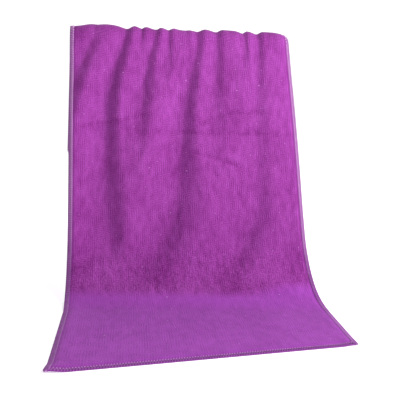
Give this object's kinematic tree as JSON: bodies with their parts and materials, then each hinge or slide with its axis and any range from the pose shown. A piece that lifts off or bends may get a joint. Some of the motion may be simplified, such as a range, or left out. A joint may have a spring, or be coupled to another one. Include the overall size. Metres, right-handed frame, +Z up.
{
  "type": "quick-dry towel",
  "caption": "Plain microfibre travel towel with overlocked edges, hung gathered over a narrow rail, its front end lying forward on a surface.",
  "frame": {"origin": "where the towel sits on the rail: the inside of the bend, at mid width", "axes": "+X along the rail, -Y towards the front that the long end hangs and lies on, +Z up"},
  "size_m": [0.3516, 0.3232, 0.354],
  "materials": {
    "cloth": "brushed ribbed pile",
    "thread": "soft lustre overlock thread"
  },
  "bodies": {
    "root": {"towel_cloth": "cloth", "left_needle_thread": "thread", "left_upper_looper_thread": "thread", "left_lower_looper_thread": "thread", "right_needle_thread": "thread", "right_upper_looper_thread": "thread", "right_lower_looper_thread": "thread", "front_hem_needle_thread": "thread", "front_hem_upper_looper_thread": "thread", "front_hem_lower_looper_thread": "thread", "back_hem_needle_thread": "thread", "back_hem_upper_looper_thread": "thread", "back_hem_lower_looper_thread": "thread"}
  },
  "joints": []
}
